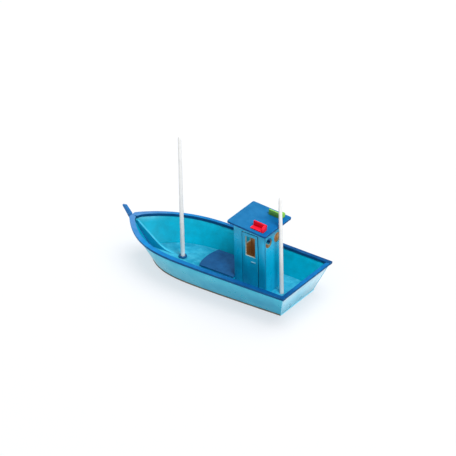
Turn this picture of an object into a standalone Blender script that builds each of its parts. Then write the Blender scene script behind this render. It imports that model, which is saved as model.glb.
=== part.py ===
"""Painted wooden toy fishing boat.

Frame: +X towards the bow, +Y to port, +Z up, origin under the middle of the boat, on the surface that it
stands on.
Places along the boat are stations, measured forward from the aft edge of the transom rail.
"""

import math

import bmesh
import bpy
from mathutils import Matrix, Vector

MM = 0.001
GAP = 0.2 * MM                     # glue line between touching pieces
PLAY = 0.3 * MM                    # looser fit of curved or bevelled edges
TINY = 0.01 * MM                   # far smaller than any detail

# Whole boat
LENGTH = 250 * MM                  # transom rail to the tip of the stem head
ORIGIN_STATION = LENGTH / 2

# Hull form: a chine line at the bottom and a sheer line at the top, with ruled sides between them
WIDEST_STATION = 111 * MM
CHINE_HALF_BEAM = 34.8 * MM
CHINE_BOW_STATION = 213 * MM
CHINE_FULLNESS = 3.8               # exponent of the bow curve
CHINE_AFT_NARROWING = 3.7 * MM
CHINE_TRANSOM_STATION = 14.4 * MM
SHEER_HALF_BEAM = 46.8 * MM
SHEER_BOW_STATION = 238.2 * MM
SHEER_FULLNESS = 3.55
SHEER_AFT_NARROWING = 1.8 * MM
SHEER_TRANSOM_STATION = 2.2 * MM
SHEER_RISE = 4.2 * MM              # how far the sheer lifts at the bow
SHEER_RISE_START = 176 * MM
AFT_FULLNESS = 1.4                 # exponent of the narrowing towards the stern
BOW_CROWDING = 0.9                 # how strongly points along the hull gather at the bow

BOTTOM_THICKNESS = 1.5 * MM
CHINE_Z = BOTTOM_THICKNESS + GAP
SHEER_Z = 31.3 * MM
DECK_Z = 6.0 * MM                  # upper face of the deck board
PLANK_THICKNESS = 2.15 * MM        # measured in plan
BOTTOM_STATIONS = 36
DECK_STATIONS = 30
PLANK_STATIONS = 30
PLANK_ROWS = 5
TRANSOM_THICKNESS = 2.35 * MM      # measured along the boat

# Rails
RAIL_WIDTH = 5.0 * MM
RAIL_BOW_WIDENING = 1.0 * MM
RAIL_THICKNESS = 2.7 * MM
RAIL_OVERHANG = 1.8 * MM
RAIL_BOW_STATION = 241.3 * MM
RAIL_END_STATION = 237.3 * MM      # where both rails butt against the stem head
RAIL_BOW_CORNER = 5.0 * MM         # radius of the opening's forward end
RAIL_CANT = 0.6 * MM               # how much thicker the rail is at its inner edge
RAIL_CANT_RUN = 25 * MM            # the cant grows over this length from the stern,
RAIL_CANT_BREADTH = 12 * MM        # and fades where the opening is narrower than this at the bow
RAIL_STATIONS = 34
RAIL_BUTT = ((0.5, 1.5 * MM), (1.0, 0.5 * MM))   # share of the joint's length, breadth left outside it

# Stem and knee
STEM_THICKNESS = 2.6 * MM
STEM_DEPTH = 6.0 * MM              # how far the stem reaches aft of the plank ends
STEM_PROUD = 1.5 * MM              # how far it stands forward of them
STEM_LEVELS = (0.35, 0.7, 1.0)     # where the front edge is set out, from chine to sheer
STEM_HEEL_STATION = 212 * MM
STEM_SHOULDER_Z = 38.7 * MM        # where the back of the head meets the rails' ends
STEM_HEAD_FRONT = (LENGTH, 46.4 * MM)
STEM_HEAD_BACK = (245.0 * MM, 47.3 * MM)
STEM_THROAT = (245.3 * MM, 39.5 * MM)
KNEE_THICKNESS = 2.4 * MM
KNEE_EDGE = [(228.7 * MM, 33.0 * MM), (216.0 * MM, 23.4 * MM), (201.4 * MM, 12.7 * MM),
             (190.5 * MM, 7.7 * MM), (182.0 * MM, 6.4 * MM)]
KNEE_TOE_STATION = 181.4 * MM

# Wheelhouse
HOUSE_AFT = 45.6 * MM
HOUSE_FORE = 86.3 * MM
HOUSE_HALF_WIDTH = 16.1 * MM
WALL = 2.0 * MM
ROOF_AFT = 38.0 * MM
ROOF_FORE = 89.0 * MM
ROOF_HALF_WIDTH = 25.1 * MM
ROOF_THICKNESS = 2.3 * MM
ROOF_AFT_Z = 88.5 * MM             # upper face at the aft edge
ROOF_FORE_Z = 92.3 * MM            # upper face at the forward edge
ROOF_CORNER_RADIUS = 2.0 * MM
CORNER_STEPS = 5
ROOF_PITCH = math.atan2(ROOF_FORE_Z - ROOF_AFT_Z, ROOF_FORE - ROOF_AFT)
WINDOW_SILL = 50.0 * MM
WINDOW_HEAD = 74.8 * MM
FRONT_WINDOW_SILL = 49.2 * MM
FRONT_WINDOW_INNER = 1.8 * MM
FRONT_WINDOW_OUTER = 13.0 * MM
PORTHOLE_RADIUS = 5.7 * MM
PORTHOLE_OFFSET = 7.9 * MM
PORTHOLE_Z = 69.5 * MM
PORTHOLE_SIDES = 32

# Doors, hinged on wire pins near their forward edge
DOORWAY_AFT = 53.8 * MM
DOORWAY_FORE = 75.8 * MM
DOORWAY_SILL = 10.6 * MM
DOORWAY_HEAD = 79.2 * MM
DOOR_AFT = 55.0 * MM
DOOR_FORE = 75.2 * MM
DOOR_BOTTOM = 11.0 * MM
DOOR_TOP = 78.2 * MM
DOOR_THICKNESS = 1.9 * MM
DOOR_WINDOW_AFT = 58.2 * MM
DOOR_WINDOW_FORE = 71.0 * MM
HINGE_STATION = 74.0 * MM
PIN_RADIUS = 0.4 * MM
PIN_HOLE_RADIUS = 0.6 * MM
PIN_SIDES = 16
PIN_SOCKET = 2.2 * MM              # how deep a pin stands in the sill or the lintel
PIN_IN_DOOR = 5.0 * MM
HANDLE_SIZE = (5.6 * MM, 0.9 * MM, 0.6 * MM)
HANDLE_STATION = 60.5 * MM
HANDLE_Z = 44.4 * MM

# Side-light boards on the roof
LIGHT_AFT = 43.9 * MM
LIGHT_LENGTH = 17.0 * MM
LIGHT_HEIGHT = 7.0 * MM
LIGHT_SCREEN = 1.6 * MM
LIGHT_INBOARD = 13.4 * MM
LIGHT_DEPTH = 5.8 * MM
LIGHT_BASE = 1.4 * MM
LIGHT_CHOCK = 2.4 * MM
LIGHT_CHOCK_RADIUS = 3.6 * MM       # of its upper outboard corner

# Coach roof ahead of the wheelhouse
COACH_SHOULDER = 132.3 * MM        # station of the front corners
COACH_FRONT = 135.9 * MM           # station of the middle of the arc
COACH_HALF_WIDTH = 18.7 * MM
COACH_Z = 18.5 * MM
COACH_THICKNESS = 2.2 * MM
COAMING = 2.0 * MM
COAMING_INSET = 1.3 * MM
ARC_STEPS = 14

# Masts
MAST_FOOT_RADIUS = 2.5 * MM
MAST_HEAD_RADIUS = 1.9 * MM
MAST_POINT = 5.0 * MM              # length of the rounded point
MAST_POINT_STEPS = 5
MAST_SIDES = 24
FOREMAST_STATION = 168.5 * MM
FOREMAST_TOP = 159.7 * MM
AFT_MAST_STATION = 35.2 * MM
AFT_MAST_TOP = 127.0 * MM
SOCKET_RADIUS = 2.8 * MM
SOCKET_FLOOR = 2.2 * MM
COLLAR_RADIUS = 4.7 * MM
COLLAR_HEIGHT = 2.0 * MM
COLLAR_CHAMFER = 0.5 * MM

XZ_PLANE = Matrix.Rotation(math.radians(90), 4, "X")
YZ_PLANE = Matrix(((0, 0, 1, 0), (1, 0, 0, 0), (0, 1, 0, 0), (0, 0, 0, 1)))


# ---------------------------------------------------------------- scene, materials and small helpers

def clear_scene():
    for item in list(bpy.data.objects):
        bpy.data.objects.remove(item)


def make_collection(name):
    collection = bpy.data.collections.new(name)
    bpy.context.scene.collection.children.link(collection)
    return collection


def make_material(name, color, roughness, metallic=0.0):
    material = bpy.data.materials.new(name)
    material.use_nodes = True
    shader = material.node_tree.nodes["Principled BSDF"]
    shader.inputs["Base Color"].default_value = (*color, 1)
    shader.inputs["Roughness"].default_value = roughness
    shader.inputs["Metallic"].default_value = metallic
    return material


def station_x(station):
    return station - ORIGIN_STATION


def add_part(name, mesh, material, matrix=None):
    part = bpy.data.objects.new(name, mesh)
    mesh.materials.clear()
    mesh.materials.append(material)
    boat.objects.link(part)
    if matrix is not None:
        part.matrix_world = matrix
    return part


def mesh_from_bmesh(name, bm):
    bmesh.ops.recalc_face_normals(bm, faces=bm.faces)
    mesh = bpy.data.meshes.new(name)
    bm.to_mesh(mesh)
    bm.free()
    return mesh


def block_mesh(name, size):
    bm = bmesh.new()
    bmesh.ops.create_cube(bm, size=1)
    bmesh.ops.scale(bm, vec=size, verts=bm.verts)
    return mesh_from_bmesh(name, bm)


def box(name, low, high, material):
    """A plain block between two corners given as (station, y, z)."""
    low = Vector((station_x(low[0]), *low[1:]))
    high = Vector((station_x(high[0]), *high[1:]))
    return add_part(name, block_mesh(name, high - low), material, Matrix.Translation((low + high) / 2))


def flat_board(name, outlines, thickness, matrix, material):
    """A board sawn from sheet: an outline, with any window outlines inside it, given thickness."""
    curve = bpy.data.curves.new(name, "CURVE")
    curve.dimensions = "2D"
    curve.fill_mode = "BOTH"
    curve.extrude = thickness / 2
    for outline in outlines:
        spline = curve.splines.new("POLY")
        spline.points.add(len(outline) - 1)
        for point, (u, v) in zip(spline.points, outline):
            point.co = (u, v, 0, 1)
        spline.use_cyclic_u = True
    pattern = bpy.data.objects.new(name + "_pattern", curve)
    bpy.context.scene.collection.objects.link(pattern)
    depsgraph = bpy.context.evaluated_depsgraph_get()
    mesh = bpy.data.meshes.new_from_object(pattern.evaluated_get(depsgraph))
    bpy.data.objects.remove(pattern)
    bm = bmesh.new()
    bm.from_mesh(mesh)
    bmesh.ops.remove_doubles(bm, verts=bm.verts, dist=TINY)
    bm.to_mesh(mesh)
    bm.free()
    mesh.name = name
    return add_part(name, mesh, material, matrix)


def rectangle(low_u, low_v, high_u, high_v):
    return [(low_u, low_v), (high_u, low_v), (high_u, high_v), (low_u, high_v)]


def circle(center_u, center_v, radius, sides):
    angles = [2 * math.pi * i / sides for i in range(sides)]
    return [(center_u + radius * math.cos(a), center_v + radius * math.sin(a)) for a in angles]


def rounded_rectangle(half_u, half_v, radius):
    points = []
    for quarter, (sign_u, sign_v) in enumerate([(1, 1), (-1, 1), (-1, -1), (1, -1)]):
        for i in range(CORNER_STEPS + 1):
            angle = math.pi / 2 * (quarter + i / CORNER_STEPS)
            points.append((sign_u * (half_u - radius) + radius * math.cos(angle),
                           sign_v * (half_v - radius) + radius * math.sin(angle)))
    return points


def smooth_line(points, steps=5):
    """Points along a Catmull-Rom curve through the given points."""
    padded = [points[0], *points, points[-1]]
    line = []
    for i in range(1, len(padded) - 2):
        p0, p1, p2, p3 = (Vector(p) for p in padded[i - 1:i + 3])
        for k in range(steps):
            t = k / steps
            line.append(tuple(0.5 * (2 * p1 + (p2 - p0) * t + (2 * p0 - 5 * p1 + 4 * p2 - p3) * t ** 2
                                     + (3 * p1 - p0 - 3 * p2 + p3) * t ** 3)))
    return line + [tuple(points[-1])]


def cylinder_cutter(name, radius, low, high, sides):
    """A cutter from low to high, two points one above the other."""
    bm = bmesh.new()
    bmesh.ops.create_cone(bm, cap_ends=True, segments=sides, radius1=radius, radius2=radius,
                          depth=high[2] - low[2])
    tool = bpy.data.objects.new(name, mesh_from_bmesh(name, bm))
    tool.location = (Vector(low) + Vector(high)) / 2
    tool.hide_render = True
    tool.display_type = "WIRE"
    cutters.objects.link(tool)
    return tool


def cut(part, tool):
    modifier = part.modifiers.new("cut_" + tool.name, "BOOLEAN")
    modifier.operation = "DIFFERENCE"
    modifier.object = tool


def turned(name, profile, location, material, closed=False):
    """A turned piece: a profile of (radius, z) points that runs down its outer side."""
    bm = bmesh.new()
    verts = [bm.verts.new((radius, 0, z)) for radius, z in profile]
    for upper, lower in zip(verts, verts[1:]):
        bm.edges.new((upper, lower))
    if closed:
        bm.edges.new((verts[-1], verts[0]))
    mesh = bpy.data.meshes.new(name)
    bm.to_mesh(mesh)
    bm.free()
    piece = add_part(name, mesh, material, Matrix.Translation(location))
    screw = piece.modifiers.new("turn", "SCREW")
    screw.steps = MAST_SIDES
    screw.render_steps = MAST_SIDES
    screw.use_merge_vertices = True
    screw.merge_threshold = TINY


# ---------------------------------------------------------------- hull form

def mix(low, high, amount):
    return low + (high - low) * amount


def side_height(z):
    """How far a level lies from the chine, 0, to the sheer, 1."""
    return (z - CHINE_Z) / (SHEER_Z - CHINE_Z)


def bow_curve(station, half_beam, bow_station, fullness, narrowing):
    """Half-breadth of a waterline: full amidships, a rounded bow, a little narrower aft."""
    if station > WIDEST_STATION:
        return half_beam * (1 - ((station - WIDEST_STATION) / (bow_station - WIDEST_STATION)) ** fullness)
    return half_beam - narrowing * (1 - station / WIDEST_STATION) ** AFT_FULLNESS


def waterline(station, height):
    return bow_curve(station, mix(CHINE_HALF_BEAM, SHEER_HALF_BEAM, height),
                     mix(CHINE_BOW_STATION, SHEER_BOW_STATION, height),
                     mix(CHINE_FULLNESS, SHEER_FULLNESS, height),
                     mix(CHINE_AFT_NARROWING, SHEER_AFT_NARROWING, height))


def transom_station(height):
    return mix(CHINE_TRANSOM_STATION, SHEER_TRANSOM_STATION, height)


def rail_line(station):
    return bow_curve(station, SHEER_HALF_BEAM + RAIL_OVERHANG, RAIL_BOW_STATION, SHEER_FULLNESS,
                     SHEER_AFT_NARROWING)


def sheer_rise(station):
    if station < SHEER_RISE_START:
        return 0.0
    return SHEER_RISE * ((station - SHEER_RISE_START) / (RAIL_BOW_STATION - SHEER_RISE_START)) ** 2


def inset_point(curve, station, inset):
    """The point of a plan curve moved square to the curve, towards the middle of the boat."""
    slope = (curve(station + TINY) - curve(station - TINY)) / (2 * TINY)
    length = math.hypot(1, slope)
    return station + inset * slope / length, curve(station) - inset / length


def station_at_breadth(curve, breadth, bow_station, inset_at):
    """Where the inset curve comes in to a given breadth at the bow, found by halving."""
    low, high = WIDEST_STATION, bow_station
    while high - low > TINY * TINY:
        middle = (low + high) / 2
        if inset_point(curve, middle, inset_at(middle))[1] > breadth:
            low = middle
        else:
            high = middle
    return low


def spread_to_bow(count):
    """Numbers from 0 to 1, closer together towards 1."""
    return [math.sin(math.pi / 2 * i / count) ** BOW_CROWDING for i in range(count + 1)]


def plan_line(curve, start, breadth, bow_station, inset, count):
    """Points of an inset plan curve from the transom to a breadth at the bow."""
    end = station_at_breadth(curve, breadth, bow_station - 2 * TINY, lambda station: inset)
    return [inset_point(curve, mix(start, end, share), inset) for share in spread_to_bow(count)]


def waterline_points(height, inset, breadth, count, start=None):
    if start is None:
        start = transom_station(height)
    points = plan_line(lambda s: waterline(s, height), start, breadth,
                       mix(CHINE_BOW_STATION, SHEER_BOW_STATION, height), inset, count)
    return [(start, points[0][1])] + points[1:]


def grid_solid(name, rings, material):
    """A closed solid through a row of equal rings of points, with its first and last ring capped."""
    bm = bmesh.new()
    loops = [[bm.verts.new((station_x(s), y, z)) for s, y, z in ring] for ring in rings]
    count = len(loops[0])
    for near, far in zip(loops, loops[1:]):
        for i in range(count):
            k = (i + 1) % count
            bm.faces.new((near[i], near[k], far[k], far[i]))
    bm.faces.new(loops[0])
    bm.faces.new(loops[-1][::-1])
    return add_part(name, mesh_from_bmesh(name, bm), material)


# ---------------------------------------------------------------- hull pieces

def make_bottom_sheet():
    port = waterline_points(0, 0, 0.0, BOTTOM_STATIONS)
    outline = [(station_x(s), y) for s, y in port]
    outline += [(x, -y) for x, y in reversed(outline[:-1])]
    flat_board("bottom_sheet", [outline], BOTTOM_THICKNESS,
               Matrix.Translation((0, 0, BOTTOM_THICKNESS / 2)), bare_wood)


def make_deck_board():
    """The floor inside the hull, bevelled to the planks, with a slot for the stem and the mast sockets."""
    clearance = PLANK_THICKNESS + PLAY
    stem_side = STEM_THICKNESS / 2 + PLAY
    rings = []
    for z in (CHINE_Z, DECK_Z):
        height = side_height(z)
        start = transom_station(height) + TRANSOM_THICKNESS + PLAY
        port = waterline_points(height, clearance, stem_side, DECK_STATIONS, start)
        slot = CHINE_BOW_STATION - STEM_DEPTH - PLAY
        port.append((slot, stem_side))
        rings.append([(s, y, z) for s, y in port] + [(s, -y, z) for s, y in reversed(port)])
    deck = grid_solid("deck_board", rings, deck_blue)
    for station in (FOREMAST_STATION, AFT_MAST_STATION):
        x = station_x(station)
        cut(deck, cylinder_cutter("mast_socket", SOCKET_RADIUS, (x, 0, SOCKET_FLOOR), (x, 0, 2 * DECK_Z),
                                  MAST_SIDES))


def make_side_plank(name, side):
    """A ruled plank from chine to sheer: each ring runs up its outer face and down its inner face."""
    end = STEM_THICKNESS / 2 + GAP
    outer_rows = []
    inner_rows = []
    for row in range(PLANK_ROWS + 1):
        height = row / PLANK_ROWS
        outer_rows.append(waterline_points(height, 0, end, PLANK_STATIONS))
        inner_rows.append(waterline_points(height, PLANK_THICKNESS, end, PLANK_STATIONS))
    rings = []
    for i in range(PLANK_STATIONS + 1):
        ring = []
        for row in range(PLANK_ROWS + 1):
            station, y = outer_rows[row][i]
            height = row / PLANK_ROWS
            ring.append((station, side * y, mix(CHINE_Z, SHEER_Z, height) + height * sheer_rise(station)))
        for row in reversed(range(PLANK_ROWS + 1)):
            station, y = inner_rows[row][i]
            height = row / PLANK_ROWS
            ring.append((station, side * y, mix(CHINE_Z, SHEER_Z, height) + height * sheer_rise(station)))
        rings.append(ring)
    grid_solid(name, rings, hull_blue)


def make_transom_board():
    """A board between the plank ends, on the slope that their ends are cut to."""
    rings = []
    for z in (CHINE_Z, SHEER_Z):
        height = side_height(z)
        aft = transom_station(height)
        fore = aft + TRANSOM_THICKNESS
        breadth_aft = waterline(aft, height) - PLANK_THICKNESS - PLAY
        breadth_fore = waterline(fore, height) - PLANK_THICKNESS - PLAY
        rings.append([(aft, -breadth_aft, z), (aft, breadth_aft, z), (fore, breadth_fore, z),
                      (fore, -breadth_fore, z)])
    grid_solid("transom_board", rings, transom_blue)


def stem_back_station(z):
    return mix(CHINE_BOW_STATION, SHEER_BOW_STATION, side_height(z)) - STEM_DEPTH


def make_stem():
    """The stem board: heel on the bottom sheet, planks on its sides, rails behind its head."""
    shelf = SHEER_Z + sheer_rise(stem_back_station(SHEER_Z))
    front = [(STEM_HEEL_STATION, CHINE_Z)]
    for height in STEM_LEVELS:
        bow = mix(CHINE_BOW_STATION, SHEER_BOW_STATION, height)
        front.append((bow + STEM_PROUD, mix(CHINE_Z, SHEER_Z, height)))
    front += [STEM_THROAT, STEM_HEAD_FRONT]
    back = [STEM_HEAD_BACK, (RAIL_END_STATION + GAP, STEM_SHOULDER_Z), (RAIL_END_STATION + GAP, shelf),
            (stem_back_station(shelf), shelf), (stem_back_station(CHINE_Z), CHINE_Z)]
    outline = [(station_x(s), z) for s, z in smooth_line(front, 4) + back]
    flat_board("stem_post", [outline], STEM_THICKNESS, XZ_PLANE, rail_blue)


def make_knee():
    """The knee behind the stem, standing on the deck."""
    foot = DECK_Z + GAP
    top = KNEE_EDGE[0][1]
    outline = [(stem_back_station(foot) - PLAY, foot), (stem_back_station(top) - PLAY, top)]
    outline += smooth_line(KNEE_EDGE)
    outline.append((KNEE_TOE_STATION, foot))
    flat_board("stem_knee", [[(station_x(s), z) for s, z in outline]], KNEE_THICKNESS, XZ_PLANE, inner_blue)


def rail_inset(station):
    widening = RAIL_BOW_WIDENING * sheer_rise(station) / SHEER_RISE
    return RAIL_WIDTH + widening


def rail_cant(station, breadth):
    return RAIL_CANT * min(1, station / RAIL_CANT_RUN, breadth / RAIL_CANT_BREADTH)


def rail_opening(count):
    """The inner edge of a side rail, from the stern to the middle line, with a round forward end."""
    tip = station_at_breadth(rail_line, 0, RAIL_END_STATION, rail_inset)
    corner = inset_point(rail_line, tip, rail_inset(tip))[0]
    angle = math.atan((rail_line(tip) - rail_line(tip - MM)) / -MM)
    center = corner - RAIL_BOW_CORNER / math.sin(angle)
    touch = center + RAIL_BOW_CORNER * math.sin(angle)
    edge = []
    for share in spread_to_bow(count):
        station, breadth = inset_point(rail_line, tip * share, rail_inset(tip * share))
        if station > touch:
            turn = math.atan2(breadth, station - center)
            station = center + RAIL_BOW_CORNER * math.cos(turn)
            breadth = RAIL_BOW_CORNER * math.sin(turn)
        edge.append((station, max(breadth, GAP / 2)))
    edge[0] = (0.0, edge[0][1])
    return edge


def make_side_rail(name, side):
    """A flat cap rail that follows the sheer and butts against its twin just aft of the stem head."""
    middle = GAP / 2
    ends = (RAIL_END_STATION * share for share in spread_to_bow(RAIL_STATIONS))
    outer = [(station, rail_line(station)) for station in ends]
    inner = rail_opening(RAIL_STATIONS)
    joint_start = inner[-1][0]
    for share, breadth in RAIL_BUTT:
        outer.append((RAIL_END_STATION, middle + breadth))
        inner.append((mix(joint_start, RAIL_END_STATION, share), middle))
    rings = []
    for near, far in zip(outer, inner):
        low_near = SHEER_Z + GAP + sheer_rise(near[0])
        low_far = SHEER_Z + GAP + sheer_rise(far[0])
        rings.append([(near[0], side * near[1], low_near),
                      (near[0], side * near[1], low_near + RAIL_THICKNESS),
                      (far[0], side * far[1], low_far + RAIL_THICKNESS + rail_cant(*far)),
                      (far[0], side * far[1], low_far)])
    grid_solid(name, rings, rail_blue)


def make_transom_rail():
    breadth = rail_line(RAIL_WIDTH) - RAIL_WIDTH - PLAY
    low = SHEER_Z + GAP
    box("transom_rail", (0, -breadth, low), (RAIL_WIDTH, breadth, low + RAIL_THICKNESS), rail_blue)


# ---------------------------------------------------------------- coach roof

def arc_points(radius, center, limit):
    """Points of an arc about the middle line, from starboard to port, as (station, y)."""
    half = math.asin(limit / radius)
    angles = [half * (2 * i / ARC_STEPS - 1) for i in range(ARC_STEPS + 1)]
    return [(center + radius * math.cos(a), radius * math.sin(a)) for a in angles]


def make_coach_roof():
    sagitta = COACH_FRONT - COACH_SHOULDER
    radius = (COACH_HALF_WIDTH ** 2 + sagitta ** 2) / (2 * sagitta)
    center = COACH_FRONT - radius
    aft = HOUSE_FORE + GAP
    outline = [(aft, -COACH_HALF_WIDTH)] + arc_points(radius, center, COACH_HALF_WIDTH)
    outline.append((aft, COACH_HALF_WIDTH))
    flat_board("coach_roof_panel", [[(station_x(s), y) for s, y in outline]], COACH_THICKNESS,
               Matrix.Translation((0, 0, COACH_Z - COACH_THICKNESS / 2)), coach_blue)

    foot = DECK_Z + GAP
    top = COACH_Z - COACH_THICKNESS - GAP
    outer = COACH_HALF_WIDTH - COAMING_INSET
    inner = outer - COAMING
    end = center + math.sqrt((radius - COAMING_INSET) ** 2 - outer ** 2)
    box("coach_port_coaming", (aft, inner, foot), (end, outer, top), inner_blue)
    box("coach_starboard_coaming", (aft, -outer, foot), (end, -inner, top), inner_blue)
    limit = inner - GAP
    front = arc_points(radius - COAMING_INSET, center, limit)
    back = arc_points(radius - COAMING_INSET - COAMING, center, limit)
    strip = [(station_x(s), y) for s, y in front + back[::-1]]
    flat_board("coach_front_coaming", [strip], top - foot, Matrix.Translation((0, 0, (top + foot) / 2)),
               inner_blue)


# ---------------------------------------------------------------- wheelhouse

def roof_under_z(station):
    """Height of the roof's lower face."""
    top = mix(ROOF_AFT_Z, ROOF_FORE_Z, (station - ROOF_AFT) / (ROOF_FORE - ROOF_AFT))
    return top - ROOF_THICKNESS / math.cos(ROOF_PITCH)


def make_side_wall(name, side, lower_hole, upper_hole):
    foot = DECK_Z + GAP
    wall = [(station_x(HOUSE_AFT), foot), (station_x(HOUSE_FORE), foot),
            (station_x(HOUSE_FORE), roof_under_z(HOUSE_FORE) - GAP),
            (station_x(HOUSE_AFT), roof_under_z(HOUSE_AFT) - GAP)]
    doorway = rectangle(station_x(DOORWAY_AFT), DOORWAY_SILL, station_x(DOORWAY_FORE), DOORWAY_HEAD)
    y = side * (HOUSE_HALF_WIDTH - WALL / 2)
    board = flat_board(name, [wall, doorway], WALL, Matrix.Translation((0, y, 0)) @ XZ_PLANE, house_blue)
    cut(board, lower_hole)
    cut(board, upper_hole)


def make_end_wall(name, aft_face, windows, top):
    foot = DECK_Z + GAP
    half = HOUSE_HALF_WIDTH - WALL - GAP
    wall = rectangle(-half, foot, half, top)
    x = station_x(aft_face + WALL / 2)
    flat_board(name, [wall] + windows, WALL, Matrix.Translation((x, 0, 0)) @ YZ_PLANE, house_blue)


def make_wheelhouse_roof():
    middle = (ROOF_AFT + ROOF_FORE) / 2
    top = (ROOF_AFT_Z + ROOF_FORE_Z) / 2
    tilt = Matrix.Translation((station_x(middle), 0, top)) @ Matrix.Rotation(-ROOF_PITCH, 4, "Y")
    half_length = (ROOF_FORE - ROOF_AFT) / 2 / math.cos(ROOF_PITCH)
    outline = rounded_rectangle(half_length, ROOF_HALF_WIDTH, ROOF_CORNER_RADIUS)
    flat_board("wheelhouse_roof", [outline], ROOF_THICKNESS,
               tilt @ Matrix.Translation((0, 0, -ROOF_THICKNESS / 2)), roof_blue)
    guide = bpy.data.objects.new("roof_top", None)
    guide.matrix_world = tilt
    boat.objects.link(guide)
    return guide, middle


def make_light_board(prefix, side, guide, middle, material):
    """A side-light board: an inboard screen, a base and a chock at the aft end, square to the roof."""
    screen_outer = LIGHT_INBOARD + LIGHT_SCREEN
    base_inner = screen_outer + GAP
    base_outer = base_inner + LIGHT_DEPTH
    pieces = {
        "screen": ((0, LIGHT_INBOARD, GAP), (LIGHT_LENGTH, screen_outer, LIGHT_HEIGHT)),
        "base": ((0, base_inner, GAP), (LIGHT_LENGTH, base_outer, LIGHT_BASE)),
    }
    for name, (low, high) in pieces.items():
        mesh = block_mesh(name, Vector(high) - Vector(low))
        piece = add_part(f"{prefix}_light_{name}", mesh, material)
        center = (Vector(low) + Vector(high)) / 2
        piece.parent = guide
        piece.location = (center.x + LIGHT_AFT - middle, side * center.y, center.z)
    foot = LIGHT_BASE + GAP
    outline = [(side * base_outer, foot), (side * base_inner, foot), (side * base_inner, LIGHT_HEIGHT)]
    for i in range(CORNER_STEPS, -1, -1):
        angle = math.pi / 2 * i / CORNER_STEPS
        outline.append((side * (base_outer - LIGHT_CHOCK_RADIUS * (1 - math.cos(angle))),
                        LIGHT_HEIGHT - LIGHT_CHOCK_RADIUS * (1 - math.sin(angle))))
    place = Matrix.Translation((LIGHT_AFT - middle + LIGHT_CHOCK / 2, 0, 0)) @ YZ_PLANE
    chock = flat_board(f"{prefix}_light_chock", [outline], LIGHT_CHOCK, place, material)
    chock.parent = guide


def make_door(prefix, side, lower_hole, upper_hole):
    """A leaf with a tall window, its pull bar and its two wire pins, on an empty on the hinge line."""
    wall_y = side * (HOUSE_HALF_WIDTH - WALL / 2)
    hinge = bpy.data.objects.new(f"{prefix}_door_hinge", None)
    hinge.location = (station_x(HINGE_STATION), wall_y, 0)
    boat.objects.link(hinge)

    leaf = rectangle(station_x(DOOR_AFT), DOOR_BOTTOM, station_x(DOOR_FORE), DOOR_TOP)
    window = rectangle(station_x(DOOR_WINDOW_AFT), WINDOW_SILL, station_x(DOOR_WINDOW_FORE), WINDOW_HEAD)
    door = flat_board(f"{prefix}_door", [leaf, window], DOOR_THICKNESS,
                      Matrix.Translation((0, wall_y, 0)) @ XZ_PLANE, house_blue)
    cut(door, lower_hole)
    cut(door, upper_hole)

    length, depth, height = HANDLE_SIZE
    face = wall_y + side * (DOOR_THICKNESS / 2 + GAP)
    ends = sorted((face, face + side * depth))
    handle = box(f"{prefix}_door_handle", (HANDLE_STATION - length / 2, ends[0], HANDLE_Z - height / 2),
                 (HANDLE_STATION + length / 2, ends[1], HANDLE_Z + height / 2), handle_paint)

    pins = []
    for level, tool in (("lower", lower_hole), ("upper", upper_hole)):
        bm = bmesh.new()
        bmesh.ops.create_cone(bm, cap_ends=True, segments=PIN_SIDES, radius1=PIN_RADIUS, radius2=PIN_RADIUS,
                              depth=tool.dimensions.z - 2 * GAP)
        name = f"{prefix}_door_{level}_pin"
        pins.append(add_part(name, mesh_from_bmesh(name, bm), brass, Matrix.Translation(tool.location)))

    bpy.context.view_layer.update()
    for piece in [door, handle, *pins]:
        place = piece.matrix_world.copy()
        piece.parent = hinge
        piece.matrix_parent_inverse = hinge.matrix_world.inverted()
        piece.matrix_world = place


def make_wheelhouse():
    for prefix, side in (("port", 1), ("starboard", -1)):
        x = station_x(HINGE_STATION)
        y = side * (HOUSE_HALF_WIDTH - WALL / 2)
        lower = cylinder_cutter(f"{prefix}_lower_hole", PIN_HOLE_RADIUS, (x, y, DOORWAY_SILL - PIN_SOCKET),
                                (x, y, DOOR_BOTTOM + PIN_IN_DOOR), PIN_SIDES)
        upper = cylinder_cutter(f"{prefix}_upper_hole", PIN_HOLE_RADIUS, (x, y, DOOR_TOP - PIN_IN_DOOR),
                                (x, y, DOORWAY_HEAD + PIN_SOCKET), PIN_SIDES)
        bpy.context.view_layer.update()
        make_side_wall(f"wheelhouse_{prefix}_wall", side, lower, upper)
        make_door(prefix, side, lower, upper)

    front_windows = [rectangle(side * FRONT_WINDOW_INNER, FRONT_WINDOW_SILL, side * FRONT_WINDOW_OUTER,
                               WINDOW_HEAD) for side in (1, -1)]
    make_end_wall("wheelhouse_front_wall", HOUSE_FORE - WALL, front_windows,
                  roof_under_z(HOUSE_FORE - WALL) - GAP)
    portholes = [circle(side * PORTHOLE_OFFSET, PORTHOLE_Z, PORTHOLE_RADIUS, PORTHOLE_SIDES)
                 for side in (1, -1)]
    make_end_wall("wheelhouse_rear_wall", HOUSE_AFT, portholes, roof_under_z(HOUSE_AFT) - GAP)

    guide, middle = make_wheelhouse_roof()
    make_light_board("port", 1, guide, middle, port_red)
    make_light_board("starboard", -1, guide, middle, starboard_green)


# ---------------------------------------------------------------- masts

def make_mast(name, station, top):
    foot = SOCKET_FLOOR + GAP
    angles = [math.pi / 2 * i / MAST_POINT_STEPS for i in range(MAST_POINT_STEPS + 1)]
    point = [(MAST_HEAD_RADIUS * math.sin(a), top - MAST_POINT * (1 - math.cos(a))) for a in angles]
    profile = point + [(MAST_FOOT_RADIUS, DECK_Z + COLLAR_HEIGHT), (MAST_FOOT_RADIUS, foot), (0, foot)]
    turned(name, profile, (station_x(station), 0, 0), mast_white)


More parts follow.
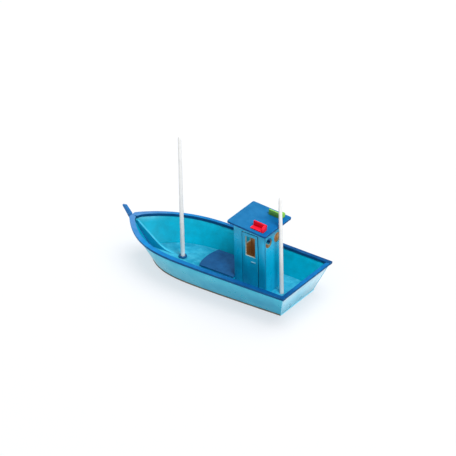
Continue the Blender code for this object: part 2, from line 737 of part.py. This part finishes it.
def make_foremast_collar():
    low = DECK_Z + GAP
    high = low + COLLAR_HEIGHT
    profile = [(SOCKET_RADIUS, high), (COLLAR_RADIUS - COLLAR_CHAMFER, high),
               (COLLAR_RADIUS, high - COLLAR_CHAMFER), (COLLAR_RADIUS, low), (SOCKET_RADIUS, low)]
    turned("foremast_collar", profile, (station_x(FOREMAST_STATION), 0, 0), collar_blue, closed=True)


# ---------------------------------------------------------------- build

clear_scene()
boat = make_collection("toy_fishing_boat")
cutters = make_collection("cutters")

bare_wood = make_material("bare_wood", (0.30, 0.17, 0.08), 0.7)
hull_blue = make_material("hull_blue", (0.10, 0.42, 0.55), 0.45)
transom_blue = make_material("transom_blue", (0.28, 0.60, 0.72), 0.45)
deck_blue = make_material("deck_blue", (0.10, 0.50, 0.64), 0.45)
inner_blue = make_material("inner_blue", (0.01, 0.36, 0.55), 0.4)
rail_blue = make_material("rail_blue", (0.02, 0.16, 0.50), 0.4)
roof_blue = make_material("roof_blue", (0.03, 0.20, 0.52), 0.4)
coach_blue = make_material("coach_blue", (0.02, 0.09, 0.24), 0.45)
collar_blue = make_material("collar_blue", (0.01, 0.06, 0.20), 0.45)
house_blue = make_material("house_blue", (0.02, 0.29, 0.44), 0.42)
handle_paint = make_material("handle_paint", (0.45, 0.75, 0.82), 0.4)
mast_white = make_material("mast_white", (0.85, 0.86, 0.84), 0.45)
port_red = make_material("port_red", (0.75, 0.01, 0.03), 0.35)
starboard_green = make_material("starboard_green", (0.16, 0.42, 0.06), 0.4)
brass = make_material("brass", (0.75, 0.55, 0.25), 0.3, 1.0)

make_bottom_sheet()
make_deck_board()
make_side_plank("port_side_plank", 1)
make_side_plank("starboard_side_plank", -1)
make_transom_board()
make_stem()
make_knee()
make_side_rail("port_rail", 1)
make_side_rail("starboard_rail", -1)
make_transom_rail()
make_coach_roof()
make_wheelhouse()
make_mast("foremast", FOREMAST_STATION, FOREMAST_TOP)
make_foremast_collar()
make_mast("aft_mast", AFT_MAST_STATION, AFT_MAST_TOP)
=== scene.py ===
"""Looks of the painted wooden toy fishing boat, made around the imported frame.

Metres, +X towards the bow, +Y to port, +Z up. Every board keeps its place and its mesh from the frame; this
script gives it softened edges and brushed paint over wood, and adds the floor, the light and the camera.
"""

import math

import bpy
from mathutils import Matrix, Vector


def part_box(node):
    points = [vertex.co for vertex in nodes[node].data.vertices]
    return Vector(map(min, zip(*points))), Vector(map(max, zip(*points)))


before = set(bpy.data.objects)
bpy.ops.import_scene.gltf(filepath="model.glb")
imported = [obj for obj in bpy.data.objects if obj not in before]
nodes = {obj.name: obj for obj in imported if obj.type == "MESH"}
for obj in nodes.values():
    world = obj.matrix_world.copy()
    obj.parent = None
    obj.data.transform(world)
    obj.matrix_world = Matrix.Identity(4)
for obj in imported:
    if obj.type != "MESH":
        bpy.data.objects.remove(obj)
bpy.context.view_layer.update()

MM = 0.001
SIDES = (("port", 1), ("starboard", -1))
UP = (0, 0, 1)
ASTERN = (-1, 0, 0)


# ---------------------------------------------------------------- shader nodes

def add(tree, kind, inputs=None, **settings):
    """A shader node; inputs are values, or sockets to link from."""
    made = tree.nodes.new("ShaderNode" + kind)
    for key, value in settings.items():
        setattr(made, key, value)
    for key, value in (inputs or {}).items():
        if isinstance(value, bpy.types.NodeSocket):
            tree.links.new(value, made.inputs[key])
        else:
            made.inputs[key].default_value = value
    return made


def calc(tree, operation, first, second=0.0):
    return add(tree, "Math", {0: first, 1: second}, operation=operation).outputs[0]


def ramp(tree, value, low, high, to_low=0.0, to_high=1.0):
    """A value taken from low..high to to_low..to_high, and held there outside."""
    inputs = {"Value": value, "From Min": low, "From Max": high, "To Min": to_low, "To Max": to_high}
    return add(tree, "MapRange", inputs).outputs[0]


def blend_color(tree, amount, first, second):
    return add(tree, "Mix", {0: amount, 6: first, 7: second}, data_type="RGBA").outputs[2]


def blend_value(tree, amount, first, second):
    return add(tree, "Mix", {0: amount, 2: first, 3: second}, data_type="FLOAT").outputs[0]


def noise(tree, place, scale, detail, roughness=0.5):
    inputs = {"Vector": place, "Scale": scale, "Detail": detail, "Roughness": roughness}
    return add(tree, "TexNoise", inputs).outputs[0]


def rgb(red, green, blue):
    """A display colour, 0 to 255, as linear light with alpha."""
    linear = []
    for level in (red, green, blue):
        share = level / 255
        linear.append(share / 12.92 if share <= 0.04045 else ((share + 0.055) / 1.055) ** 2.4)
    return (*linear, 1.0)


# ---------------------------------------------------------------- surface layers

GRAIN = {"X": (0.1, 1, 1), "Y": (1, 0.1, 1), "Z": (1, 1, 0.1)}
PATCH = 9 * MM                  # across the patches of lighter and darker paint
BROAD_PATCH = 14 * MM
STROKE = 0.7 * MM               # across a brush mark
WOOD_FIGURE = 1.6 * MM          # across the dark lines in bare plywood
WOOD_ROUGHNESS = 0.7
EDGE_BAND = 0.6 * MM            # how far back from an edge the paler paint reaches
EDGE_GAP = 2.2 * MM             # along an edge, from one paler place to the next
MASK_FADE = 0.2 * MM
RELIEF = 0.1 * MM


class Surface:
    """A material under construction: colour, roughness and height are mixed layer by layer."""

    def __init__(self, name, grain="X"):
        self.material = bpy.data.materials.new(name)
        self.material.use_nodes = True
        self.tree = self.material.node_tree
        self.shader = self.tree.nodes["Principled BSDF"]
        coordinates = add(self.tree, "TexCoord")
        self.place = coordinates.outputs["Object"]
        self.normal = coordinates.outputs["Normal"]
        self.along = add(self.tree, "Mapping", {"Vector": self.place, "Scale": GRAIN[grain]}).outputs[0]
        self.color = None
        self.roughness = None
        self.height = None

    def paint(self, light, dark, roughness, patch=PATCH, stroke=STROKE):
        """Brushed paint: patches between two tones, with fine strokes along the grain."""
        tree = self.tree
        patches = noise(tree, self.place, 1 / patch, 3.0, 0.6)
        strokes = noise(tree, self.along, 1 / stroke, 3.0, 0.6)
        fine = noise(tree, self.along, 3 / stroke, 2.0)
        tone = calc(tree, "ADD", calc(tree, "MULTIPLY", patches, 0.7), calc(tree, "MULTIPLY", strokes, 0.3))
        color = blend_color(tree, ramp(tree, tone, 0.34, 0.66), light, dark)
        rough = ramp(tree, patches, 0.3, 0.7, roughness - 0.05, roughness + 0.07)
        height = calc(tree, "ADD", strokes, calc(tree, "MULTIPLY", fine, 0.35))
        return color, rough, height

    def wood(self, light, dark):
        """Bare plywood: wavy figure along the grain, with pores."""
        tree = self.tree
        figure = noise(tree, self.along, 1 / WOOD_FIGURE, 4.0, 0.65)
        pores = noise(tree, self.along, 6 / WOOD_FIGURE, 2.0)
        tone = calc(tree, "ADD", calc(tree, "MULTIPLY", figure, 0.75), calc(tree, "MULTIPLY", pores, 0.25))
        color = blend_color(tree, ramp(tree, tone, 0.35, 0.65), light, dark)
        return color, ramp(tree, figure, 0.3, 0.7, WOOD_ROUGHNESS - 0.08, WOOD_ROUGHNESS + 0.08), pores

    def lay(self, layer, mask=None):
        """Puts a layer over what is there, where the mask is 1."""
        color, rough, height = layer
        if mask is None or self.color is None:
            self.color, self.roughness, self.height = color, rough, height
            return
        self.color = blend_color(self.tree, mask, self.color, color)
        self.roughness = blend_value(self.tree, mask, self.roughness, rough)
        self.height = blend_value(self.tree, mask, self.height, height)

    def alignment(self, direction):
        """How far the surface looks along a direction at rest, from -1 to 1."""
        product = add(self.tree, "VectorMath", {0: self.normal, 1: direction}, operation="DOT_PRODUCT")
        return product.outputs["Value"]

    def facing(self, direction, low=-0.15, high=0.15):
        """1 where the surface looks along the direction at rest, 0 where it looks away."""
        return ramp(self.tree, self.alignment(direction), low, high)

    def cut_edges(self, axis):
        """1 where the surface looks across an axis, as a board's sawn edges do."""
        along = self.alignment(tuple(1 if letter == axis else 0 for letter in "XYZ"))
        return ramp(self.tree, calc(self.tree, "ABSOLUTE", along), 0.8, 0.5)

    def span(self, axis, low, high):
        """Runs from 0 at the first coordinate on an axis to 1 at the second."""
        parts = add(self.tree, "SeparateXYZ", {0: self.place})
        return ramp(self.tree, parts.outputs["XYZ".index(axis)], low, high)

    def within(self, axis, low, high):
        """1 between two coordinates on an axis."""
        after = self.span(axis, low - MASK_FADE, low + MASK_FADE)
        before = self.span(axis, high + MASK_FADE, high - MASK_FADE)
        return self.both(after, before)

    def both(self, first, second):
        return calc(self.tree, "MULTIPLY", first, second)

    def between(self, mask, first, second):
        """A pair of tones, from the first pair where the mask is 0 to the second where it is 1."""
        return tuple(blend_color(self.tree, mask, one, other) for one, other in zip(first, second))

    def edges(self, cover):
        """1 along sharp edges, broken up along their length; more cover leaves fewer gaps."""
        tree = self.tree
        rounded = add(tree, "Bevel", {"Radius": EDGE_BAND}, samples=6).outputs[0]
        true = add(tree, "NewGeometry").outputs["Normal"]
        match = add(tree, "VectorMath", {0: rounded, 1: true}, operation="DOT_PRODUCT").outputs["Value"]
        line = ramp(tree, match, 0.995, 0.90)
        gaps = noise(tree, self.along, 1 / EDGE_GAP, 4.0, 0.7)
        return self.both(line, ramp(tree, gaps, 0.62 - 0.3 * cover, 0.7 - 0.3 * cover))

    def finish(self, specular, bump=0.2):
        """Joins the layers to the shader; specular is a value, or a socket to link from."""
        tree = self.tree
        inputs = self.shader.inputs
        tree.links.new(self.color, inputs["Base Color"])
        tree.links.new(self.roughness, inputs["Roughness"])
        if isinstance(specular, bpy.types.NodeSocket):
            tree.links.new(specular, inputs["Specular IOR Level"])
        else:
            inputs["Specular IOR Level"].default_value = specular
        relief = add(tree, "Bump", {"Height": self.height, "Strength": bump, "Distance": RELIEF})
        tree.links.new(relief.outputs[0], inputs["Normal"])
        return self.material


# ---------------------------------------------------------------- paints

BARE = (rgb(240, 198, 140), rgb(206, 154, 92))
SAWN = (rgb(128, 118, 102), rgb(90, 86, 76))
PALE_EDGE = (rgb(182, 202, 192), rgb(140, 180, 178))
# The portholes' cut edges, a darker copy of the windows' pale edges: painted shade.
SHADED_EDGE = (rgb(120, 126, 98), rgb(94, 110, 90))
# The hull's outside: lighter towards the bow as a painted sheen, and lighter under the rail as painted light.
HULL_AFT = (rgb(10, 172, 203), rgb(0, 155, 193))
HULL_LIT_TOP = (rgb(74, 212, 237), rgb(51, 196, 225))
HULL_FORE = (rgb(108, 209, 228), rgb(76, 194, 220))
# The transom: a lighter copy of the hull's paint as a painted reflection, nearly white to starboard and at
# its top as a painted highlight.
TRANSOM = (rgb(136, 217, 245), rgb(121, 208, 232))
TRANSOM_HIGHLIGHT = (rgb(222, 238, 245), rgb(192, 227, 240))
DECK = (rgb(72, 192, 222), rgb(10, 150, 188))
INNER = (rgb(0, 177, 208), rgb(0, 156, 184))
# The stem knee: darker sides as painted shade, a lighter top as a painted highlight.
KNEE = (rgb(0, 148, 187), rgb(0, 128, 163))
KNEE_LIT_TOP = (rgb(70, 196, 226), rgb(30, 178, 212))
RAIL_BOW = (rgb(92, 146, 204), rgb(60, 126, 188))
RAIL_FORE = (rgb(26, 140, 212), rgb(14, 122, 190))
RAIL_AFT = (rgb(2, 88, 150), rgb(0, 70, 128))
# Upright faces of the rails are darker: painted shade.
RAIL_SHADED_SIDE = (rgb(20, 84, 134), rgb(2, 66, 112))
STERN_RAIL = (rgb(6, 120, 192), rgb(0, 98, 168))
STEM = (rgb(38, 117, 182), rgb(23, 97, 164))
ROOF_AFT = (rgb(6, 111, 177), rgb(0, 93, 159))
ROOF_FORE = (rgb(33, 123, 181), rgb(22, 110, 166))
# Upright faces of the roof are darker: painted shade.
ROOF_SHADED_SIDE = (rgb(18, 84, 140), rgb(4, 66, 118))
# The coach roof: lighter aft, by the wheelhouse, as painted light, and darker towards its port edge.
COACH = (rgb(25, 99, 160), rgb(17, 83, 139))
COACH_LIT_AFT = (rgb(28, 108, 170), rgb(20, 92, 150))
COACH_PORT = (rgb(22, 87, 140), rgb(14, 72, 121))
COLLAR = (rgb(20, 96, 148), rgb(8, 74, 122))
HOUSE = (rgb(13, 191, 237), rgb(0, 171, 216))
# The wheelhouse's sides are darker low down: painted shade.
HOUSE_SHADED_LOW = (rgb(0, 145, 186), rgb(0, 126, 169))
HOUSE_REAR = (rgb(4, 176, 216), rgb(0, 158, 200))
# The walls' ends and the door gaps' edges are darker still: painted shade.
HOUSE_SHADED_SIDE = (rgb(4, 135, 176), rgb(0, 117, 158))
HANDLE = (rgb(154, 202, 216), rgb(128, 182, 200))
WHITE = (rgb(230, 230, 228), rgb(220, 221, 219))
# The side lights' screens keep the darker tones; their tops and chocks are lighter copies: painted light.
RED = (rgb(216, 4, 34), rgb(190, 0, 24))
RED_LIT = (rgb(246, 40, 66), rgb(228, 24, 52))
GREEN = (rgb(98, 160, 68), rgb(70, 128, 48))
GREEN_LIT = (rgb(159, 221, 96), rgb(126, 193, 70))
# Paler edges: partly rubbed paint, partly a painted highlight.
WORN_AND_HIGHLIGHT_BLUE = (rgb(96, 164, 208), rgb(60, 140, 192))
BRASS = (rgb(214, 180, 98), rgb(178, 140, 66))

# Where the tones change from one pair to the next: the axis, where the change starts and where it ends.
# The hull is lighter towards the bow as a painted sheen, and lighter towards its top as painted light.
HULL_SHEEN_SPAN = ("X", -0.06, 0.09)
HULL_RISE = ("Z", 0.014, 0.034)
PLANK_END = ("X", -0.100, -0.108)
# The transom turns nearly white towards starboard: a painted highlight.
TRANSOM_HIGHLIGHT_SPAN = ("Y", 0.0, -0.04)
# The rails and the roof are darker towards the stern, the rails lighter again at the bow, and the transom
# rail darker at its port corner.
RAIL_FADE = ("X", -0.07, 0.06)
RAIL_BOW_FADE = ("X", 0.07, 0.10)
# At the bow the rails' outer faces lose the painted shade and take the fore tones.
RAIL_BOW_SIDE = ("X", 0.05, 0.10)
STERN_RAIL_FADE = ("Y", 0.03, 0.01)
ROOF_FADE = ("X", -0.082, -0.055)
# The wheelhouse's sides darken towards the bottom: painted shade.
HOUSE_RISE = ("Z", 0.036, 0.084)


def wear_and_highlight(surface, roughness, cover):
    """Paler, rougher paint along the edges: partly rubbed paint, partly a painted highlight."""
    surface.lay(surface.paint(*WORN_AND_HIGHLIGHT_BLUE, roughness), surface.edges(cover))


def plain_paint(name, tones, grain="X", roughness=0.32, specular=0.5, top=None, pale_edges=False):
    """One paint all round; faces that look up may have their own lighter tones, as painted light."""
    surface = Surface(name, grain)
    if top:
        tones = surface.between(surface.facing(UP, 0.5, 0.85), tones, top)
    surface.lay(surface.paint(*tones, roughness))
    if pale_edges:
        wear_and_highlight(surface, roughness + 0.1, cover=0.5)
    return surface.finish(specular)


def two_sided(name, first, second, fade, upper, outward, grain="X", ends=None):
    """A hull board; its outside goes from the first tones to the second, and upwards to a third pair: painted
    light.
    """
    surface = Surface(name, grain)
    surface.lay(surface.paint(*INNER, roughness=0.32))
    tones = surface.between(surface.span(*fade), first, second)
    tones = surface.between(surface.span(*HULL_RISE), tones, upper)
    outside = surface.facing(outward)
    surface.lay(surface.paint(*tones, roughness=0.3, patch=BROAD_PATCH), outside)
    if ends:
        stern = surface.both(surface.facing(ASTERN, 0.5, 0.8), surface.span(*PLANK_END))
        surface.lay(surface.paint(*ends, roughness=0.3, patch=BROAD_PATCH), stern)
    return surface.finish(ramp(surface.tree, outside, 0.0, 1.0, 0.15, 0.35), bump=0.05)


def graded_shaded(name, first, second, fade, side, grain="X", outward=None):
    """Paint whose tones change along a board, with darker upright faces as painted shade.

    A board that has an outward direction is a side rail: its top and its outer face are lighter at the bow.
    """
    surface = Surface(name, grain)
    top = surface.between(surface.span(*fade), first, second)
    if outward:
        top = surface.between(surface.span(*RAIL_BOW_FADE), top, RAIL_BOW)
        bow = surface.both(surface.facing(outward, 0.2, 0.6), surface.span(*RAIL_BOW_SIDE))
        side = surface.between(bow, side, RAIL_FORE)
    tones = surface.between(surface.facing(UP, 0.35, 0.8), side, top)
    surface.lay(surface.paint(*tones, roughness=0.45))
    wear_and_highlight(surface, roughness=0.55, cover=0.4)
    return surface.finish(specular=0.08)


def wall_paint(name, axis, side, outer_face, thickness, openings=(), low_tones=HOUSE_SHADED_LOW, tones=HOUSE,
               edge=PALE_EDGE):
    """A wall or a door: paint outside and on its ends, bare plywood inside, pale cut edges in its windows."""
    surface = Surface(name, "Z")
    # A darker paint first, left on the ends and the door gaps' edges: painted shade.
    surface.lay(surface.paint(*HOUSE_SHADED_SIDE, roughness=0.4))
    inward = tuple(-side if letter == axis else 0 for letter in "XYZ")
    outward = tuple(side if letter == axis else 0 for letter in "XYZ")
    surface.lay(surface.wood(*BARE), surface.facing(inward, 0.5, 0.8))
    sawn = surface.cut_edges(axis)
    across = "Y" if axis == "X" else "X"
    painted_to = outer_face - side * 0.8 * thickness
    depth = surface.within(axis, min(painted_to, outer_face), max(painted_to, outer_face))
    for low, high, sill, head in openings:
        place = surface.both(surface.within(across, low, high), surface.within("Z", sill, head))
        cut = surface.both(sawn, place)
        surface.lay(surface.wood(*BARE), cut)
        surface.lay(surface.paint(*edge, roughness=0.45), surface.both(cut, depth))
    # Outside, the low tones towards the bottom are painted shade.
    house_tones = surface.between(surface.span(*HOUSE_RISE), low_tones, tones)
    surface.lay(surface.paint(*house_tones, roughness=0.3), surface.facing(outward, 0.3, 0.6))
    return surface.finish(specular=0.4)


def brass_wire():
    wire = Surface("brass_wire", "Z")
    wire.lay(wire.paint(*BRASS, roughness=0.35, patch=2 * MM, stroke=0.3 * MM))
    wire.shader.inputs["Metallic"].default_value = 1.0
    return wire.finish(specular=0.5, bump=0.1)


def dress(names, material):
    for name in names:
        slots = nodes[name].data.materials
        slots.clear()
        slots.append(material)


# ---------------------------------------------------------------- edges

WELD = 0.002 * MM
SHARP = math.radians(35)        # edges that turn more than this are rounded


def smooth_shading():
    """Modifier nodes that shade every face smooth, so that a board's own mesh stays as it is."""
    group = bpy.data.node_groups.new("smooth_shading", "GeometryNodeTree")
    for way in ("INPUT", "OUTPUT"):
        group.interface.new_socket("Geometry", in_out=way, socket_type="NodeSocketGeometry")
    start = group.nodes.new("NodeGroupInput")
    shade = group.nodes.new("GeometryNodeSetShadeSmooth")
    end = group.nodes.new("NodeGroupOutput")
    group.links.new(start.outputs[0], shade.inputs["Geometry"])
    group.links.new(shade.outputs[0], end.inputs[0])
    return group


smooth = smooth_shading()


def soften(names, width, segments=3):
    """Rounds the boards' sawn edges and shades their faces smooth."""
    for name in names:
        board = nodes[name]
        board.modifiers.new("smooth", "NODES").node_group = smooth
        board.modifiers.new("weld", "WELD").merge_threshold = WELD
        bevel = board.modifiers.new("soft_edges", "BEVEL")
        bevel.width = width
        bevel.segments = segments
        bevel.limit_method = "ANGLE"
        bevel.angle_limit = SHARP
        bevel.use_clamp_overlap = True
        bevel.harden_normals = True


# ---------------------------------------------------------------- boat

def dress_hull():
    sawn = Surface("sawn_ply")
    sawn.lay(sawn.wood(*SAWN))
    sawn.lay(sawn.paint(*TRANSOM, roughness=0.42), sawn.facing(ASTERN, 0.7, 0.9))
    dress(["bottom_sheet"], sawn.finish(specular=0.1))
    dress(["deck_board"], plain_paint("deck_paint", DECK, specular=0.3))
    for prefix, side in SIDES:
        outward = (0, side, 0)
        plank = two_sided(f"{prefix}_plank_paint", HULL_AFT, HULL_FORE, HULL_SHEEN_SPAN, HULL_LIT_TOP, outward,
                          ends=TRANSOM)
        dress([f"{prefix}_side_plank"], plank)
        rail = graded_shaded(f"{prefix}_rail_paint", RAIL_AFT, RAIL_FORE, RAIL_FADE, RAIL_SHADED_SIDE, outward=outward)
        dress([f"{prefix}_rail"], rail)
    transom = two_sided("transom_paint", TRANSOM, TRANSOM_HIGHLIGHT, TRANSOM_HIGHLIGHT_SPAN, TRANSOM_HIGHLIGHT, ASTERN, "Y")
    dress(["transom_board"], transom)
    stern = graded_shaded("transom_rail_paint", RAIL_AFT, STERN_RAIL, STERN_RAIL_FADE, RAIL_SHADED_SIDE, "Y")
    dress(["transom_rail"], stern)
    dress(["stem_post"], plain_paint("stem_paint", STEM, "Z", roughness=0.45, specular=0.2, pale_edges=True))
    dress(["stem_knee"], plain_paint("knee_paint", KNEE, top=KNEE_LIT_TOP))
    boards = ("port_side_plank", "starboard_side_plank", "transom_board", "deck_board", "bottom_sheet")
    soften(boards, 0.3 * MM, segments=2)
    soften(("port_rail", "starboard_rail", "transom_rail"), 0.7 * MM, segments=4)
    soften(("stem_post", "stem_knee"), 0.5 * MM)


def dress_coach_roof():
    low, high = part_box("coach_roof_panel")
    length = high.x - low.x
    panel = Surface("coach_paint")
    # Lighter aft, by the wheelhouse, as painted light; darker towards the port edge.
    forward = panel.span("X", low.x + 0.2 * length, low.x + 0.6 * length)
    tones = panel.between(forward, COACH_LIT_AFT, COACH)
    tones = panel.between(panel.span("Y", 0.15 * high.y, 0.75 * high.y), tones, COACH_PORT)
    panel.lay(panel.paint(*tones, roughness=0.5))
    # Paler broken edges all round the panel: rubbed paint, and a painted highlight along its starboard edge.
    wear_and_highlight(panel, roughness=0.6, cover=0.8)
    dress(["coach_roof_panel"], panel.finish(specular=0.15))
    coamings = ("coach_port_coaming", "coach_starboard_coaming", "coach_front_coaming")
    dress(coamings, plain_paint("coaming_paint", INNER))
    soften(["coach_roof_panel"], 0.5 * MM)


def mirrored(near, far, sill, head):
    """Two openings in a cross wall, one each side of the middle line."""
    return ((-far, -near, sill, head), (near, far, sill, head))


# A box round each opening: from where to where across the wall, and its sill and head.
PORTHOLES = mirrored(0.0021, 0.0137, 0.0636, 0.0754)
FRONT_WINDOWS = mirrored(0.0016, 0.0132, 0.0490, 0.0750)
DOOR_WINDOW = ((-0.0670, -0.0538, 0.0498, 0.0750),)


def dress_wheelhouse():
    dress(["wheelhouse_roof"], graded_shaded("roof_paint", ROOF_AFT, ROOF_FORE, ROOF_FADE, ROOF_SHADED_SIDE))
    soften(["wheelhouse_roof"], 0.7 * MM, segments=4)
    for prefix, side in SIDES:
        for name, openings, width in ((f"wheelhouse_{prefix}_wall", (), 0.3 * MM),
                                      (f"{prefix}_door", DOOR_WINDOW, 0.35 * MM)):
            low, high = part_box(name)
            face = high.y if side > 0 else low.y
            dress([name], wall_paint(f"{name}_paint", "Y", side, face, high.y - low.y, openings))
            soften([name], width)
        dress([f"{prefix}_door_handle"], handle_paint)
        soften([f"{prefix}_door_handle"], 0.3 * MM, segments=4)
        dress([f"{prefix}_door_lower_pin", f"{prefix}_door_upper_pin"], brass)
    for name, side, openings, edge in (("front", 1, FRONT_WINDOWS, PALE_EDGE),
                                       ("rear", -1, PORTHOLES, SHADED_EDGE)):
        low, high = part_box(f"wheelhouse_{name}_wall")
        face = high.x if side > 0 else low.x
        paint = wall_paint(f"{name}_wall_paint", "X", side, face, high.x - low.x, openings, HOUSE_REAR,
                           HOUSE_REAR, edge)
        dress([f"wheelhouse_{name}_wall"], paint)
        soften([f"wheelhouse_{name}_wall"], 0.3 * MM)


def dress_side_lights():
    for prefix, paint, chock_paint in (("port", red, bright_red), ("starboard", green, bright_green)):
        dress([f"{prefix}_light_screen", f"{prefix}_light_base"], paint)
        dress([f"{prefix}_light_chock"], chock_paint)
        soften([f"{prefix}_light_{part}" for part in ("screen", "base", "chock")], 0.4 * MM)


def dress_masts():
    dress(["foremast", "aft_mast"], plain_paint("mast_paint", WHITE, "Z", roughness=0.35))
    dress(["foremast_collar"], plain_paint("collar_paint", COLLAR, roughness=0.5, specular=0.2))
    soften(("foremast", "aft_mast", "foremast_collar"), 0.2 * MM, segments=2)


# ---------------------------------------------------------------- stage

FLOOR = rgb(156, 157, 159)
FLOOR_GLOW = 1.80               # a lit table: shadows on it stay faint
FLOOR_WIDTH = 80
FLOOR_PATCH = 0.4


def make_floor():
    bpy.ops.mesh.primitive_plane_add(size=FLOOR_WIDTH)
    floor = bpy.context.object
    floor.name = "floor"
    surface = Surface("floor_paper")
    surface.lay(surface.paint(FLOOR, FLOOR, roughness=0.8, patch=FLOOR_PATCH))
    floor.data.materials.append(surface.finish(specular=0.1, bump=0.0))
    surface.shader.inputs["Emission Color"].default_value = FLOOR
    surface.shader.inputs["Emission Strength"].default_value = FLOOR_GLOW
    return floor


LAMP_DISTANCE = 8.0
LAMP_WATTS = 530
KEY_TOWARDS = Vector((-0.548, 0.280, 0.788)).normalized()
KEY_WIDTH = 3.2
FLOOR_KEY_TOWARDS = Vector((0.02, -0.41, 0.91)).normalized()
FLOOR_KEY_WIDTH = 9.0
CABIN_WATTS = 0.003             # what the pale room would send in through the wheelhouse windows
CABIN_CENTRE = (-0.060, 0.0, 0.078)
CABIN_LAMP_RADIUS = 0.004
SKY_LOW = 0.34
SKY_HIGH = 0.78


def hang_lamp(name, towards, width, floor, on_floor):
    """A large round lamp that lights only the floor, or everything but the floor."""
    lamp = bpy.data.lights.new(name, "AREA")
    lamp.shape = "DISK"
    lamp.size = width
    lamp.energy = LAMP_WATTS
    hung = bpy.data.objects.new(name, lamp)
    hung.location = towards * LAMP_DISTANCE
    hung.rotation_mode = "QUATERNION"
    hung.rotation_quaternion = towards.to_track_quat("Z", "Y")
    bpy.context.scene.collection.objects.link(hung)
    lit = bpy.data.collections.new(f"{name}_receivers")
    lit.objects.link(floor)
    lit.collection_objects[0].light_linking.link_state = on_floor
    hung.light_linking.receiver_collection = lit


def make_sky():
    """A soft white sky, brighter overhead."""
    world = bpy.data.worlds.new("studio")
    world.use_nodes = True
    tree = world.node_tree
    parts = add(tree, "SeparateXYZ", {0: add(tree, "TexCoord").outputs["Generated"]})
    level = ramp(tree, parts.outputs[2], 0.0, 1.0, SKY_LOW, SKY_HIGH)
    tree.links.new(level, tree.nodes["Background"].inputs["Strength"])
    tree.nodes["Background"].inputs["Color"].default_value = (1, 1, 1, 1)
    bpy.context.scene.world = world


def light_cabin():
    """A very weak lamp inside the wheelhouse."""
    glow = bpy.data.lights.new("cabin_fill", "POINT")
    glow.energy = CABIN_WATTS
    glow.shadow_soft_size = CABIN_LAMP_RADIUS
    fill = bpy.data.objects.new("cabin_fill", glow)
    fill.location = CABIN_CENTRE
    bpy.context.scene.collection.objects.link(fill)


def make_light(floor):
    """The sky, one lamp from the port quarter, one on the starboard side for the floor, and the cabin's."""
    make_sky()
    hang_lamp("key", KEY_TOWARDS, KEY_WIDTH, floor, "EXCLUDE")
    hang_lamp("floor_key", FLOOR_KEY_TOWARDS, FLOOR_KEY_WIDTH, floor, "INCLUDE")
    light_cabin()


AZIMUTH = math.radians(216.3)
ELEVATION = math.radians(31.4)
ROLL = math.radians(1.27)
CAMERA_DISTANCE = 5.0
SENSOR_WIDTH = 36               # millimetres
VIEW_WIDTH = 0.5016             # what the picture spans at the boat
AIM_RIGHT = 0.0144              # the picture's centre, from the frame's origin, across and up the view
AIM_UP = 0.0494


def make_camera():
    back = Vector((math.sin(AZIMUTH) * math.cos(ELEVATION), -math.cos(AZIMUTH) * math.cos(ELEVATION),
                   math.sin(ELEVATION)))
    level = Vector(UP).cross(back).normalized()
    upright = back.cross(level)
    right = level * math.cos(ROLL) - upright * math.sin(ROLL)
    up = upright * math.cos(ROLL) + level * math.sin(ROLL)
    data = bpy.data.cameras.new("camera")
    data.sensor_width = SENSOR_WIDTH
    data.lens = SENSOR_WIDTH * CAMERA_DISTANCE / VIEW_WIDTH
    data.clip_start = 0.05
    data.clip_end = 100
    camera = bpy.data.objects.new("camera", data)
    turn = Matrix((right, up, back)).transposed().to_4x4()
    target = right * AIM_RIGHT + up * AIM_UP
    camera.matrix_world = Matrix.Translation(target + back * CAMERA_DISTANCE) @ turn
    bpy.context.scene.collection.objects.link(camera)
    bpy.context.scene.camera = camera


# ---------------------------------------------------------------- build

handle_paint = plain_paint("handle_paint", HANDLE)
red = plain_paint("port_red", RED, specular=0.12, top=RED_LIT)
green = plain_paint("starboard_green", GREEN, specular=0.25, top=GREEN_LIT)
# The chocks take the lighter copies all round: painted light.
bright_red = plain_paint("port_chock_red", RED_LIT, specular=0.12)
bright_green = plain_paint("starboard_chock_green", GREEN_LIT, specular=0.25)
brass = brass_wire()

make_camera()
make_light(make_floor())
dress_hull()
dress_coach_roof()
dress_wheelhouse()
dress_side_lights()
dress_masts()
bpy.context.scene.view_settings.view_transform = "Standard"
